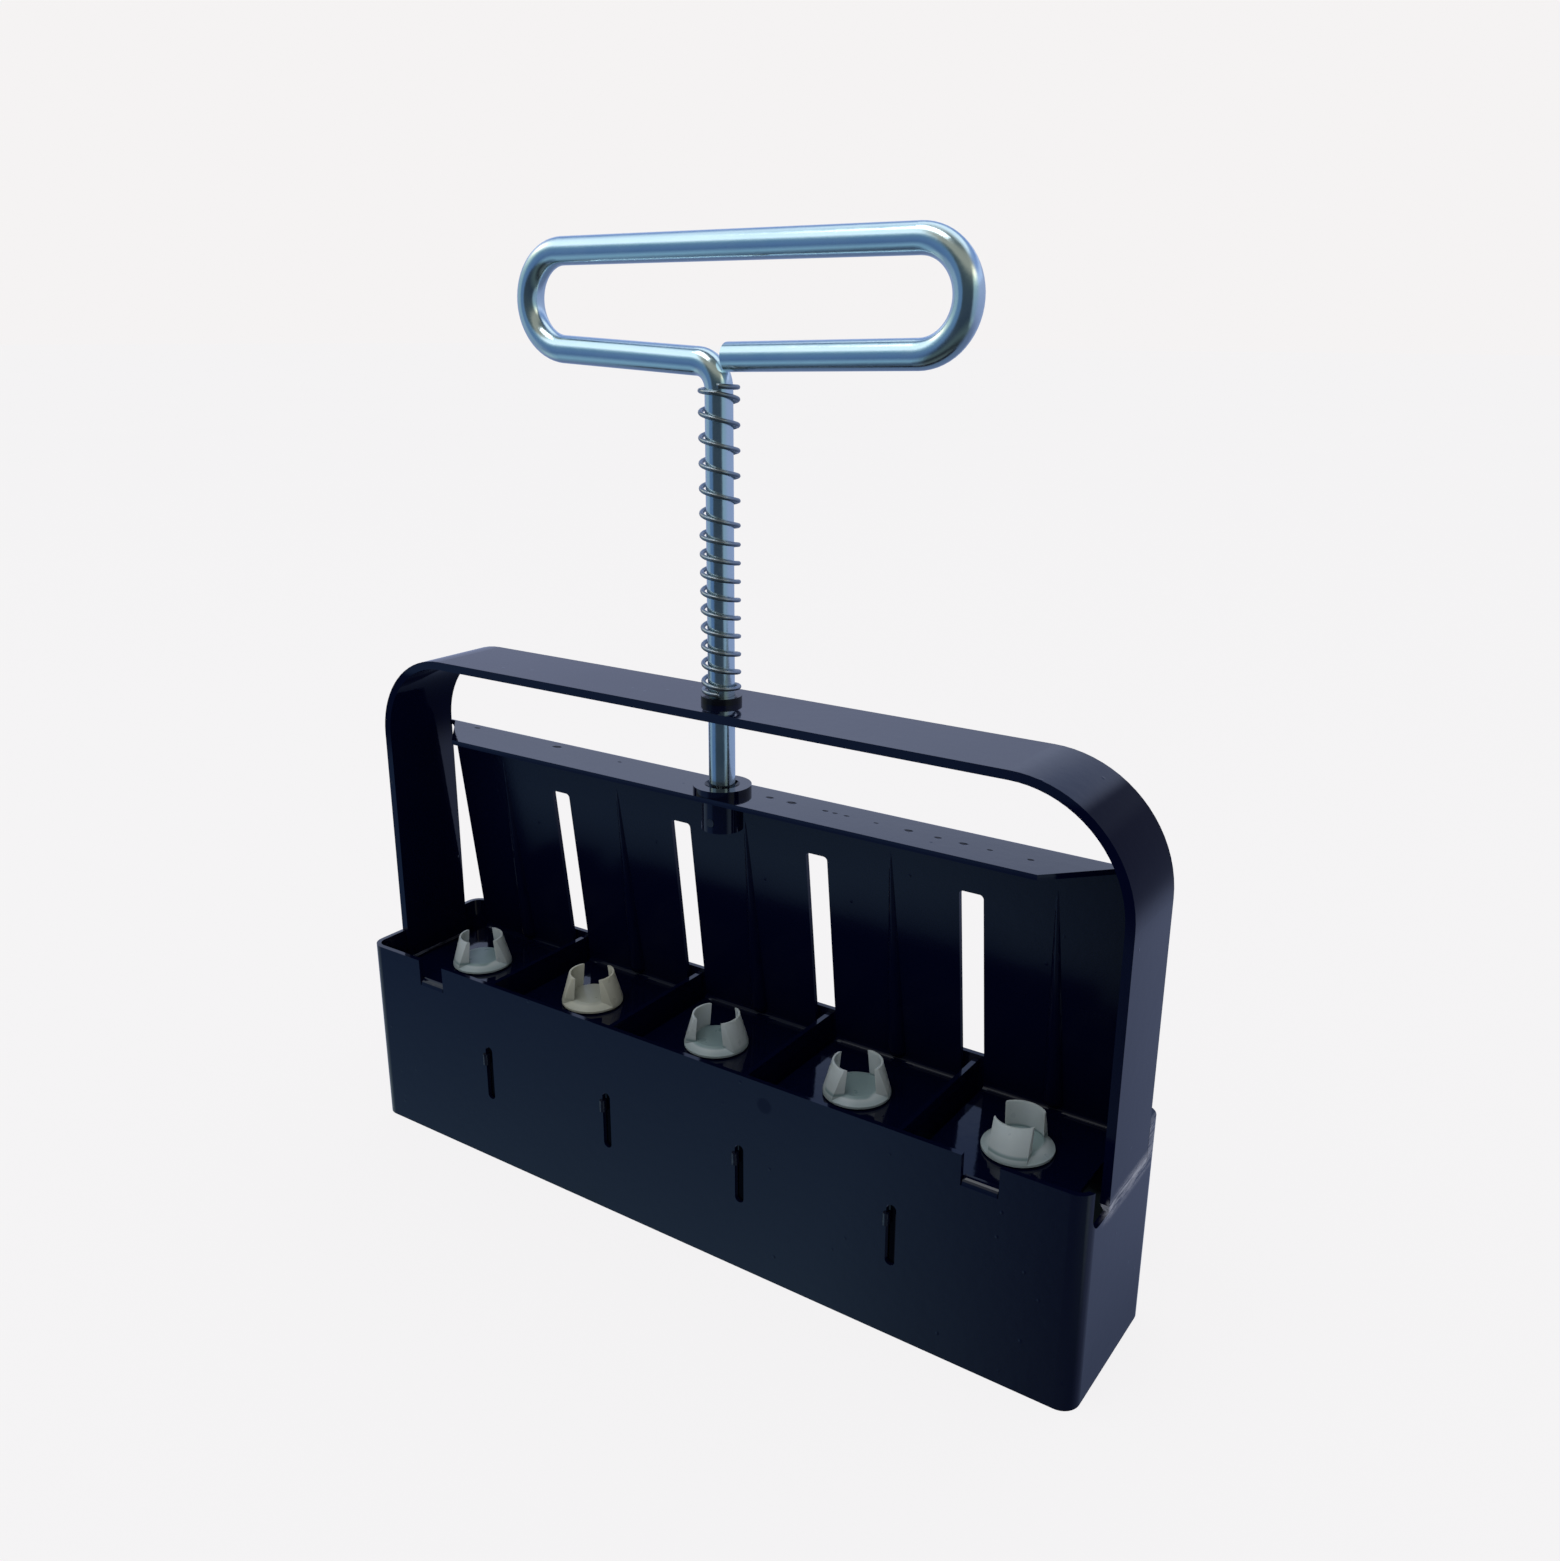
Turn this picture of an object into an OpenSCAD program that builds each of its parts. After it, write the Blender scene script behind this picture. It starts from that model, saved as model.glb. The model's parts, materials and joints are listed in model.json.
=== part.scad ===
// Hand soil blocker: a sheet-steel mould box of five cells, a sprung plunger
// with one press plate for each cell, and a seed-hole pin in each plate.
// X runs along the box, Y from front to back, Z up. The origin is the middle
// of the box's footprint, on the surface that it stands on.

/* [Mould box] */
// Distance between the centres of neighbouring cells
cell_pitch = 39.3; // [34:0.1:46]
// Extra room between the outer cells and the ends of the box
end_margin = 3.35; // [2:0.05:6]
// Outside depth of the box, front to back
mould_depth = 39.4; // [37:0.1:48]
// Height of the box
mould_height = 50.7; // [46:0.1:64]
// Thickness of the sheet steel of the box and its partitions
wall_t = 1.2; // [1:0.1:1.8]
// Outside radius of the box's upright corners
corner_r = 4; // [3:0.1:5]
// How far the partitions' upper edges stay below the rim
partition_drop = 1; // [0.5:0.1:3]
// Height of the tabs that pass through the front and back walls
tab_h = 14.4; // [8:0.1:20]
// Width of the lugs in the front wall that stop the press plates
lug_w = 7.8; // [5:0.1:10]
// How far those lugs reach into the box
lug_reach = 5; // [3.5:0.1:6]
// Depth of the lugs' upper faces below the rim
lug_drop = 5.2; // [4:0.1:8]

/* [Handle strap] */
// Height of the strap's upper face above the rim
strap_rise = 77.7; // [70:0.1:100]
// Width of the strap, front to back
strap_w = 21.2; // [16:0.1:24]
// How far the strap's middle stands behind the handle's axis
strap_shift = 0.4; // [0:0.1:1]
// Thickness of the strap
strap_t = 2; // [1.6:0.1:3]
// Outside radius of the strap's left bend
bend_left_r = 22; // [14:0.5:32]
// Outside radius of the strap's right bend
bend_right_r = 27; // [14:0.5:32]
// How far below the rim the strap is welded to the end walls
weld_drop = 9.1; // [6:0.1:12]
// Height of the ground-flush weld seam
weld_h = 1.3; // [0.8:0.1:2]
// Width of the relief notch in front of the strap, at the right end
relief_w = 8.4; // [4.5:0.1:9]
// How far the handle's axis stands behind the middle of the box
axis_back = 1.7; // [0:0.1:2.5]

/* [Ejector] */
// Thickness of the ejector's sheet steel
ejector_t = 1.2; // [1:0.1:1.5]
// Width of the slots that clear the partitions
slot_w = 5.8; // [4:0.1:8]
// Distance from the top of the slots to the top of the shelf
web_cap = 14.4; // [12:0.1:20]
// How far the web's foot stands behind its top
web_lean = 7.3; // [5:0.1:7.6]
// Inside radius of the ejector's bends
fold_r = 1.2; // [0.8:0.1:2]
// How far the shelf reaches forward of the handle's axis
shelf_reach = 6.9; // [6.5:0.1:9]
// Length of the chamfer at the shelf's ends
shelf_chamfer = 15; // [6:0.5:20]
// Radius of the stiffening rib at the foot of each leg
rib_r = 2.4; // [1.2:0.1:3]
// Gap between the press plates and the front wall
plate_gap = 2; // [1:0.1:3]

/* [Plunger rod] */
// Diameter of the rod
rod_d = 6; // [5:0.1:6.6]
// Length of the loop handle, outside
loop_len = 114.6; // [90:0.1:130]
// How far the loop's middle stands to the right of the rod's axis
loop_shift = 2.3; // [0:0.05:4]
// Radius of the centre line at the loop's round ends
loop_end_r = 10.2; // [9:0.05:16]
// Radius of the centre line where the rod turns into the loop
neck_r = 5.5; // [5.2:0.1:7]
// Slope of the loop's left lower bar, in degrees
left_slope = 3; // [1:0.1:4]
// Slope of the loop's right lower bar, in degrees
right_slope = 1.3; // [0.5:0.1:2]
// Straight length of the rod above the strap
rod_rise = 66.7; // [60:0.1:90]
// Outside diameter of the boss ring on the shelf
boss_ring_d = 13.4; // [12:0.1:13.6]
// Height of the boss ring
boss_ring_h = 1.6; // [1.2:0.1:3]
// Outside diameter of the boss barrel under the shelf
boss_d = 9.6; // [9:0.1:10]
// Length of the boss barrel below the shelf's upper face
boss_len = 9; // [7:0.1:10]
// Diameter of the cross pin that locks the rod in the boss
cross_pin_d = 2; // [1.5:0.1:2.5]
// Outside diameter of the rings of the strap bush
bush_ring_d = 9.2; // [9:0.1:11]
// Height of the strap bush above the strap
bush_rise = 1.4; // [1:0.1:4]
// Outside diameter of the strap bush inside the strap
bush_d = 8; // [7.8:0.1:8.6]

/* [Return spring] */
// Wire diameter of the return spring
wire_d = 1; // [0.8:0.05:1.1]
// Outside diameter of the return spring
spring_d = 8.9; // [8.8:0.1:10]
// Turns of the spring between its closed ends
spring_turns = 14; // [10:1:15]

/* [Seed-hole pins] */
// Outside diameter of the pin's snap crown
crown_d = 15.5; // [13:0.1:17]
// Height of the pin's snap crown
crown_h = 7.8; // [5:0.1:9]
// Outside diameter of the crown's prongs at their tips
prong_tip_d = 11.4; // [10:0.1:12.5]
// Width of the prongs
prong_w = 8.6; // [7:0.1:9.4]
// Diameter of the pin's neck, in the press plate's hole
neck_d = 9; // [7:0.1:9.6]
// Diameter of the seat disc under the press plate
seat_d = 13; // [11:0.1:15]
// Length of the pin below the press plate
dibber_len = 14; // [8:0.5:18]
// Diameter of the pin's tip
tip_d = 6; // [4:0.1:7]
// How far the pins stand in front of the middle of the box
pin_forward = 1.5; // [0:0.1:2]

/* [Hidden] */

cells = 5;
round_fn = 48;
e = 0.01;                        // overshoot of cutting solids

// Clearances
seat_gap = 0.3;                  // between a moving piece and its stop
edge_gap = 0.1;                  // between a partition and the walls
slot_side = 0.6;                 // beside a partition's tab in its slot
web_gap = 0.5;                   // between the ejector's back and the back wall
run_gap = 0.06;                  // radial, between the rod and its bush
fit_gap = 0.05;                  // radial, between parts assembled for good
coil_gap = 0.45;                 // between the wires of a closed spring end

// Box
mould_len = cells * cell_pitch + 2 * end_margin;
half_len = mould_len / 2;
half_depth = mould_depth / 2;
inner_y = half_depth - wall_t;
tab_z = mould_height / 2;
tab_inset = 0.8;
partition_h = mould_height - partition_drop;
lug_r = 0.6;
lug_x = (cells - 1) / 2 * cell_pitch;
lug_top = mould_height - lug_drop;
lug_bend_z = lug_top - wall_t - lug_r;
lug_slit = 0.3;
tack_h = 3;
tack_deep = 1.2;
tack_r = 0.7;
tack_drop = 2;                   // below the top of the tab

// Strap
strap_front = axis_back + strap_shift - strap_w / 2;
strap_back = axis_back + strap_shift + strap_w / 2;
weld_z = mould_height - weld_drop;
strap_top = mould_height + strap_rise;
strap_under = strap_top - strap_t;
relief_r = 3;
kerf = 0.2;                      // between the strap and the cut in the end wall

// Ejector at rest, against the lugs
plate_top = lug_top - wall_t - seat_gap;
plate_under = plate_top - ejector_t;
travel = plate_under - seat_gap;
slot_top = partition_h + travel + 0.8;
slot_corner_r = 1;
shelf_top = slot_top + web_cap;
leg_w = cell_pitch - slot_w;
web_half = (cells - 1) / 2 * cell_pitch + leg_w / 2;
fold_out = fold_r + ejector_t;
foot_y = inner_y - web_gap - fold_out;
foot_z = plate_top + fold_r;
head_y = foot_y - web_lean;
head_z = shelf_top - fold_out;
lean = atan2(web_lean, head_z - foot_z);
shelf_front = axis_back - shelf_reach;
plate_front = -inner_y + plate_gap;
shelf_end_inset = 2;
rib_top_r = 0.3;
rib_sink = 0.5;                  // of the rib's axis, behind the leg's front face
rib_top_drop = 0.5;              // from the upper bend to the rib's point
rib_foot_rise = 1.6;             // from the lower bend to the rib's foot

// Rod
rod_r = rod_d / 2;
boss_low = shelf_top - boss_len;
boss_top = shelf_top + boss_ring_h;
rod_low = boss_low + 0.2;
cross_pin_z = boss_low + 2.4;
rod_high = strap_top + rod_rise;
bush_low = strap_under - 1;
bush_top = strap_top + bush_rise;
loop_left = loop_shift - loop_len / 2 + rod_r;
loop_right = loop_shift + loop_len / 2 - rod_r;
left_x = loop_left + loop_end_r;
neck_x = -neck_r * (1 - sin(left_slope));
neck_z = rod_high + neck_r * cos(left_slope);
left_foot_x = left_x - loop_end_r * sin(left_slope);
left_foot_z = neck_z + (neck_x - left_foot_x) * tan(left_slope);
loop_mid_z = left_foot_z + loop_end_r * cos(left_slope);
loop_top_z = loop_mid_z + loop_end_r;
right_x = loop_right - loop_end_r;
right_foot_x = right_x + loop_end_r * sin(right_slope);
right_foot_z = loop_mid_z - loop_end_r * cos(right_slope);
cut_reach = neck_r + rod_r + 0.15;
cut_x = -neck_r + sqrt(pow(cut_reach, 2) - pow(right_bar_low() - rod_high, 2));
function right_bar_low() = right_foot_z - (right_foot_x - 2) * tan(right_slope) - rod_r;

// Spring
wire_r = wire_d / 2;
coil_r = spring_d / 2 - wire_r;
closed_pitch = wire_d + coil_gap;
spring_low = bush_top + seat_gap + wire_r;
spring_high = rod_high + 0.8;
end_turns = 1;
all_turns = spring_turns + 2 * end_turns;
rings_per_turn = 8;
wire_sides = 6;

// Pins
crown_low = plate_top + 0.4;
crown_edge_h = 0.5;
crown_floor_h = 1.8;
crown_floor_d = 10.6;
prong_tip_t = 0.45;
prong_foot_t = 2.1;
dibber_root_d = 9.6;
seat_h = 1.6;
pin_turn = [47, 26, 13, 40, 94];   // how each pin happens to be turned, in degrees
pin_hole_gap = 0.15;

paint = [0.045, 0.05, 0.1];
zinc = [0.72, 0.78, 0.84];
steel = [0.5, 0.52, 0.55];
nylon = [0.86, 0.88, 0.82];
weld = [0.45, 0.46, 0.52];

// ---------------------------------------------------------------- shapes

module rounded_plan(length, depth, r) {
    square([length - 2 * r, depth], center = true);
    square([length, depth - 2 * r], center = true);
    for (sx = [-1, 1], sy = [-1, 1])
        translate([sx * (length / 2 - r), sy * (depth / 2 - r)])
            circle(r = r, $fn = round_fn);
}

module tube_ring(outer_r, inner_r, height) {
    difference() {
        cylinder(r = outer_r, h = height, $fn = round_fn);
        translate([0, 0, -e])
            cylinder(r = inner_r, h = height + 2 * e, $fn = round_fn);
    }
}

function cell_x(i) = (i - (cells + 1) / 2) * cell_pitch;
function partition_x(i) = (i - cells / 2) * cell_pitch;

// Points of an arc in the plane, from angle a to angle b
function arc(cx, cy, r, a, b, steps = 6) =
    [for (i = [0 : steps]) let (t = a + (b - a) * i / steps) [cx + r * cos(t), cy + r * sin(t)]];

// ---------------------------------------------------------------- mould box

module mould_shell() {
    color(paint) {
        difference() {
            linear_extrude(mould_height) rounded_plan(mould_len, mould_depth, corner_r);
            translate([0, 0, -1])
                linear_extrude(mould_height + 2)
                    rounded_plan(mould_len - 2 * wall_t, mould_depth - 2 * wall_t, corner_r - wall_t);
            for (i = [1 : cells - 1]) tab_slots(i);
            for (side = [-1, 1]) {
                lug_notch(side);
                strap_cut(side);
            }
        }
        for (side = [-1, 1]) stop_lug(side);
    }
}

module tab_slots(i) {
    slot_h = tab_h + 2 * seat_gap;
    end_r = wall_t / 2 + slot_side;
    translate([partition_x(i), half_depth + 1, tab_z])
        rotate([90, 0, 0])
            linear_extrude(mould_depth + 2) {
                square([2 * end_r, slot_h - 2 * end_r], center = true);
                for (side = [-1, 1])
                    translate([0, side * (slot_h / 2 - end_r)]) circle(r = end_r, $fn = 24);
            }
}

module lug_notch(side) {
    width = lug_w + 2 * lug_slit;
    translate([side * lug_x - width / 2, -half_depth - 1, lug_bend_z])
        cube([width, wall_t + 1 + e, mould_height]);
}

// A tongue of the front wall, bent inward over the press plate
module stop_lug(side) {
    bend_y = -inner_y + lug_r;
    profile = concat(
        [[-half_depth, lug_bend_z - e], [-inner_y, lug_bend_z - e]],
        arc(bend_y, lug_bend_z, lug_r, 180, 90),
        [[-inner_y + lug_reach, lug_bend_z + lug_r], [-inner_y + lug_reach, lug_top]],
        arc(bend_y, lug_bend_z, lug_r + wall_t, 90, 180));
    translate([side * lug_x - lug_w / 2, 0, 0])
        rotate([90, 0, 90])
            linear_extrude(lug_w) polygon(profile);
}

// The end wall is cut out for the strap. At the right end the cut is wider in front.
module strap_cut(side) {
    front = strap_front - (side > 0 ? relief_w : kerf);
    corner = side > 0 ? relief_r : kerf;
    depth = wall_t + corner_r;
    translate([side * half_len - (side > 0 ? depth : 0), 0, 0])
        rotate([90, 0, 90])
            linear_extrude(depth) {
                translate([front + corner, weld_z])
                    square([strap_back + kerf - front - corner, mould_height]);
                translate([front, weld_z + corner])
                    square([2 * corner, mould_height]);
                translate([front + corner, weld_z + corner])
                    circle(r = corner, $fn = round_fn);
            }
}

module partition(i) {
    half = inner_y - edge_gap;
    tab_half = half_depth - tab_inset;
    color(paint)
        translate([partition_x(i) - wall_t / 2, 0, 0])
            rotate([90, 0, 90])
                linear_extrude(wall_t)
                    union() {
                        translate([-half, 0]) square([2 * half, partition_h]);
                        translate([-tab_half, tab_z - tab_h / 2]) square([2 * tab_half, tab_h]);
                    }
}

// Tack welds between the tabs and the left edges of their slots, each with a small bead
module tab_tacks() {
    color(weld)
        for (i = [1 : cells - 1], side = [-1, 1])
            translate([partition_x(i) - wall_t / 2 - slot_side, side * half_depth,
                       tab_z + tab_h / 2 - tack_drop - tack_h])
                linear_extrude(tack_h)
                    scale([1, side]) {
                        translate([0, -tack_deep]) square([slot_side, tack_deep]);
                        intersection() {
                            circle(r = tack_r, $fn = 24);
                            translate([-tack_r, 0]) square([2 * tack_r, tack_r]);
                        }
                    }
}

// ---------------------------------------------------------------- strap

module strap_outline(inset) {
    left_r = bend_left_r - inset;
    right_r = bend_right_r - inset;
    half = half_len - inset;
    top = strap_top - inset;
    low = weld_z + weld_h - (inset > 0 ? 1 : 0);
    translate([-half, low]) square([half, top - left_r - low]);
    translate([0, low]) square([half, top - right_r - low]);
    translate([-half + left_r, low]) square([half - left_r + e, top - low]);
    translate([0, low]) square([half - right_r, top - low]);
    translate([-half + left_r, top - left_r]) circle(r = left_r, $fn = 2 * round_fn);
    translate([half - right_r, top - right_r]) circle(r = right_r, $fn = 2 * round_fn);
}

module handle_strap() {
    color(paint)
        difference() {
            translate([0, strap_back, 0])
                rotate([90, 0, 0])
                    linear_extrude(strap_w)
                        difference() {
                            strap_outline(0);
                            strap_outline(strap_t);
                        }
            translate([0, axis_back, strap_under - 1])
                cylinder(d = bush_d + 2 * fit_gap, h = strap_t + 2, $fn = round_fn);
        }
}

// Butt weld between the end wall and the strap's foot, ground flush outside
module strap_weld(side) {
    profile = [[half_len, weld_z], [half_len, weld_z + weld_h],
               [half_len - strap_t, weld_z + weld_h], [half_len - wall_t, weld_z]];
    color(weld)
        translate([0, strap_back, 0])
            rotate([90, 0, 0])
                linear_extrude(strap_w)
                    scale([side, 1]) polygon(profile);
}

module strap_bush() {
    bore_r = rod_r + run_gap;
    color("dimgray")
        translate([0, axis_back, 0])
            difference() {
                union() {
                    translate([0, 0, bush_low]) cylinder(d = bush_ring_d, h = strap_under - bush_low, $fn = round_fn);
                    translate([0, 0, bush_low]) cylinder(d = bush_d, h = bush_top - bush_low, $fn = round_fn);
                    translate([0, 0, strap_top]) cylinder(d = bush_ring_d, h = bush_rise, $fn = round_fn);
                }
                translate([0, 0, bush_low - 1]) cylinder(r = bore_r, h = bush_top - bush_low + 2, $fn = round_fn);
            }
}

// ---------------------------------------------------------------- ejector

module ejector() {
    profile = concat(
        [[shelf_front, shelf_top], [shelf_front, shelf_top - ejector_t]],
        arc(head_y, head_z, fold_r, 90, lean),
        arc(foot_y, foot_z, fold_r, lean, -90),
        [[plate_front, plate_top], [plate_front, plate_under]],
        arc(foot_y, foot_z, fold_out, -90, lean),
        arc(head_y, head_z, fold_out, lean, 90));
    color(paint)
        difference() {
            union() {
                translate([-web_half, 0, 0])
                    rotate([90, 0, 90])
                        linear_extrude(2 * web_half) polygon(profile);
                for (i = [1 : cells]) leg_rib(i);
            }
            for (i = [1 : cells - 1]) web_slot(i);
            for (side = [-1, 1]) shelf_end(side);
            translate([0, axis_back, shelf_top - ejector_t - 1])
                cylinder(d = boss_d + 2 * fit_gap, h = ejector_t + 2, $fn = round_fn);
            for (i = [1 : cells])
                translate([cell_x(i), -pin_forward, plate_under - 1])
                    cylinder(d = neck_d + 2 * pin_hole_gap, h = ejector_t + 2, $fn = round_fn);
        }
}

module web_slot(i) {
    translate([partition_x(i), half_depth + 1, 0])
        rotate([90, 0, 0])
            linear_extrude(mould_depth + 2) {
                translate([-slot_w / 2, 0]) square([slot_w, slot_top - slot_corner_r]);
                translate([-slot_w / 2 + slot_corner_r, 0]) square([slot_w - 2 * slot_corner_r, slot_top]);
                for (side = [-1, 1])
                    translate([side * (slot_w / 2 - slot_corner_r), slot_top - slot_corner_r])
                        circle(r = slot_corner_r, $fn = 24);
            }
}

module shelf_end(side) {
    corner_x = web_half - shelf_chamfer;
    translate([0, 0, shelf_top - ejector_t - e])
        linear_extrude(ejector_t + 1)
            scale([side, 1])
                polygon([[corner_x, shelf_front - 1], [web_half + 1, shelf_front - 1],
                         [web_half + 1, head_y - e], [web_half - shelf_end_inset, head_y - e],
                         [corner_x, shelf_front]]);
}

// Stiffening rib pressed into a leg, growing from a point to a round foot
module leg_rib(i) {
    run = (head_z - foot_z) / cos(lean) - rib_top_drop - rib_foot_rise;
    translate([cell_x(i), foot_y, foot_z])
        rotate([lean, 0, 0])
            translate([0, fold_r + rib_sink, rib_foot_rise])
                intersection() {
                    union() {
                        sphere(r = rib_r, $fn = 32);
                        cylinder(r1 = rib_r, r2 = rib_top_r, h = run, $fn = 32);
                    }
                    translate([-rib_r - 1, -rib_r - 1, -rib_r - 1])
                        cube([2 * rib_r + 2, rib_r + 1 + rib_sink, run + rib_r + 2]);
                }
}

// ---------------------------------------------------------------- rod

module rod_boss() {
    lead_in = 1;
    color(paint)
        translate([0, axis_back, 0])
            difference() {
                union() {
                    translate([0, 0, boss_low]) cylinder(d = boss_d, h = boss_top - boss_low, $fn = round_fn);
                    translate([0, 0, shelf_top]) cylinder(d = boss_ring_d, h = boss_ring_h, $fn = round_fn);
                }
                translate([0, 0, boss_low - 1])
                    cylinder(r = rod_r + fit_gap, h = boss_top - boss_low + 2, $fn = round_fn);
                translate([0, 0, boss_top - lead_in])
                    cylinder(r1 = rod_r + fit_gap, r2 = rod_r + fit_gap + lead_in, h = lead_in + e, $fn = round_fn);
                cross_hole();
            }
}

module cross_hole() {
    translate([0, boss_d, cross_pin_z ])
        rotate([90, 0, 0]) cylinder(d = cross_pin_d + 2 * fit_gap, h = 2 * boss_d, $fn = 24);
}

module cross_pin() {
    color(steel)
        translate([0, axis_back + boss_d / 2, cross_pin_z])
            rotate([90, 0, 0]) cylinder(d = cross_pin_d, h = boss_d, $fn = 24);
}

// One bent rod: the shaft, its turn, the left bar, the loop and the right bar
module handle_rod() {
    color(zinc)
        difference() {
            translate([0, axis_back, 0]) {
                translate([0, 0, rod_low]) cylinder(r = rod_r, h = rod_high - rod_low, $fn = round_fn);
                rod_bend(-neck_r, rod_high, neck_r, 0, 90 - left_slope);
                rod_bar(neck_x, neck_z, left_foot_x, left_foot_z);
                rod_bend(left_x, loop_mid_z, loop_end_r, 90, 180 - left_slope);
                rod_bar(left_x, loop_top_z, right_x, loop_top_z);
                rod_bend(right_x, loop_mid_z, loop_end_r, -90 + right_slope, 180 - right_slope);
                rod_bar(right_foot_x, right_foot_z, cut_x,
                        right_foot_z - (right_foot_x - cut_x) * tan(right_slope));
            }
            translate([0, axis_back, 0]) cross_hole();
        }
}

// A bend of the rod in the XZ plane, from angle start, turning through angle sweep
module rod_bend(x, z, r, start, sweep) {
    translate([x, 0, z])
        rotate([90, 0, 0])
            rotate([0, 0, start])
                rotate_extrude(angle = sweep, $fn = 2 * round_fn)
                    translate([r, 0]) circle(r = rod_r, $fn = round_fn);
}

// A straight length of the rod, lapping into the bends at its ends
module rod_bar(x1, z1, x2, z2) {
    run = sqrt(pow(x2 - x1, 2) + pow(z2 - z1, 2));
    lap = 0.1;
    translate([x1, 0, z1])
        rotate([0, 90 - atan2(z2 - z1, x2 - x1), 0])
            translate([0, 0, -lap])
                cylinder(r = rod_r - 0.005, h = run + 2 * lap, $fn = round_fn);
}

// ---------------------------------------------------------------- spring

// Share of the open height that turn n has reached: the turns open out upward
open_run = spring_high - spring_low - 2 * end_turns * closed_pitch;
open_swell = 0.3;                // how much wider the upper turns stand apart
open_from = 0.62;
function open_share(s) = (s + open_swell * max(0, s - open_from)) / (1 + open_swell * (1 - open_from));
function coil_z(n) =
    n < end_turns ? spring_low + n * closed_pitch
    : n > all_turns - end_turns ? spring_high - (all_turns - n) * closed_pitch
    : spring_low + end_turns * closed_pitch + open_run * open_share((n - end_turns) / spring_turns);

coil_rings = all_turns * rings_per_turn;
coil_start = -60;

// Corner k of ring j: the wire's section, standing in the plane of the axis
function coil_point(j, k) =
    let (n = j / rings_per_turn, a = coil_start - 360 * n, b = 360 * k / wire_sides,
         r = coil_r + wire_r * cos(b))
    [r * cos(a), axis_back + r * sin(a), coil_z(n) + wire_r * sin(b)];

module return_spring() {
    points = [for (j = [0 : coil_rings], k = [0 : wire_sides - 1]) coil_point(j, k)];
    sides = [for (j = [0 : coil_rings - 1], k = [0 : wire_sides - 1], half = [0, 1])
        let (a = j * wire_sides + k, b = j * wire_sides + (k + 1) % wire_sides,
             c = a + wire_sides, d = b + wire_sides)
        half == 0 ? [a, b, d] : [a, d, c]];
    last = coil_rings * wire_sides;
    ends = concat([for (k = [1 : wire_sides - 2]) [0, k + 1, k]],
                  [for (k = [1 : wire_sides - 2]) [last, last + k, last + k + 1]]);
    color(steel) polyhedron(points, concat(sides, ends));
}

// Least gap between neighbouring turns, measured between the corner points of their rings
coil_gaps = [for (j = [0 : coil_rings - rings_per_turn], k = [0 : wire_sides - 1],
                  step = [-1 : 1], m = [0 : wire_sides - 1])
    let (other = j + rings_per_turn + step)
    if (other <= coil_rings) norm(coil_point(other, m) - coil_point(j, k))];
echo(least_coil_gap = min(coil_gaps));
echo(shut_height = all_turns * wire_d, open_height = spring_high - spring_low, travel = travel);

// ---------------------------------------------------------------- pins

// A nylon pin: a snap crown with two prongs above the plate, a seat and a tapered peg below
module dibble_pin(i) {
    seat_top = plate_under - 0.1;
    tip_z = plate_under - dibber_len + tip_d / 2;
    edge_z = crown_low + crown_edge_h;
    floor_z = crown_low + crown_floor_h;
    color(nylon)
        translate([cell_x(i), -pin_forward, 0])
            rotate([0, 0, pin_turn[i - 1]]) {
                translate([0, 0, crown_low])
                    cylinder(d = crown_d, h = crown_edge_h, $fn = round_fn);
                translate([0, 0, edge_z])
                    cylinder(d1 = crown_d, d2 = crown_floor_d, h = floor_z - edge_z, $fn = round_fn);
                crown_prongs(edge_z, crown_low + crown_h);
                translate([0, 0, seat_top - e])
                    cylinder(d = neck_d, h = edge_z - seat_top, $fn = round_fn);
                translate([0, 0, seat_top - seat_h])
                    cylinder(d = seat_d, h = seat_h, $fn = round_fn);
                translate([0, 0, tip_z])
                    cylinder(d1 = tip_d, d2 = dibber_root_d, h = plate_under - seat_h - tip_z, $fn = round_fn);
                translate([0, 0, tip_z])
                    sphere(d = tip_d, $fn = round_fn);
            }
}

// Two curved prongs that lean in towards their thin tips
module crown_prongs(low, high) {
    foot_r = crown_d / 2;
    tip_r = prong_tip_d / 2;
    intersection() {
        difference() {
            translate([0, 0, low])
                cylinder(r1 = foot_r, r2 = tip_r, h = high - low, $fn = round_fn);
            translate([0, 0, low])
                cylinder(r1 = foot_r - prong_foot_t, r2 = tip_r - prong_tip_t, h = high - low + e, $fn = round_fn);
        }
        translate([-foot_r, -prong_w / 2, low - 1])
            cube([2 * foot_r, prong_w, high - low + 2]);
    }
}

// ---------------------------------------------------------------- assembly

mould_shell();
for (i = [1 : cells - 1])
    partition(i);
tab_tacks();
handle_strap();
strap_weld(-1);  // strap_weld_left
strap_weld(1);  // strap_weld_right
strap_bush();
ejector();
rod_boss();
cross_pin();
handle_rod();
return_spring();
for (i = [1 : cells])
    dibble_pin(i);
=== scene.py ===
"""Visual model of a hand soil blocker, in metres, on the frame that the CAD packed."""
import json
import math

import bpy
from mathutils import Matrix, Vector

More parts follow.
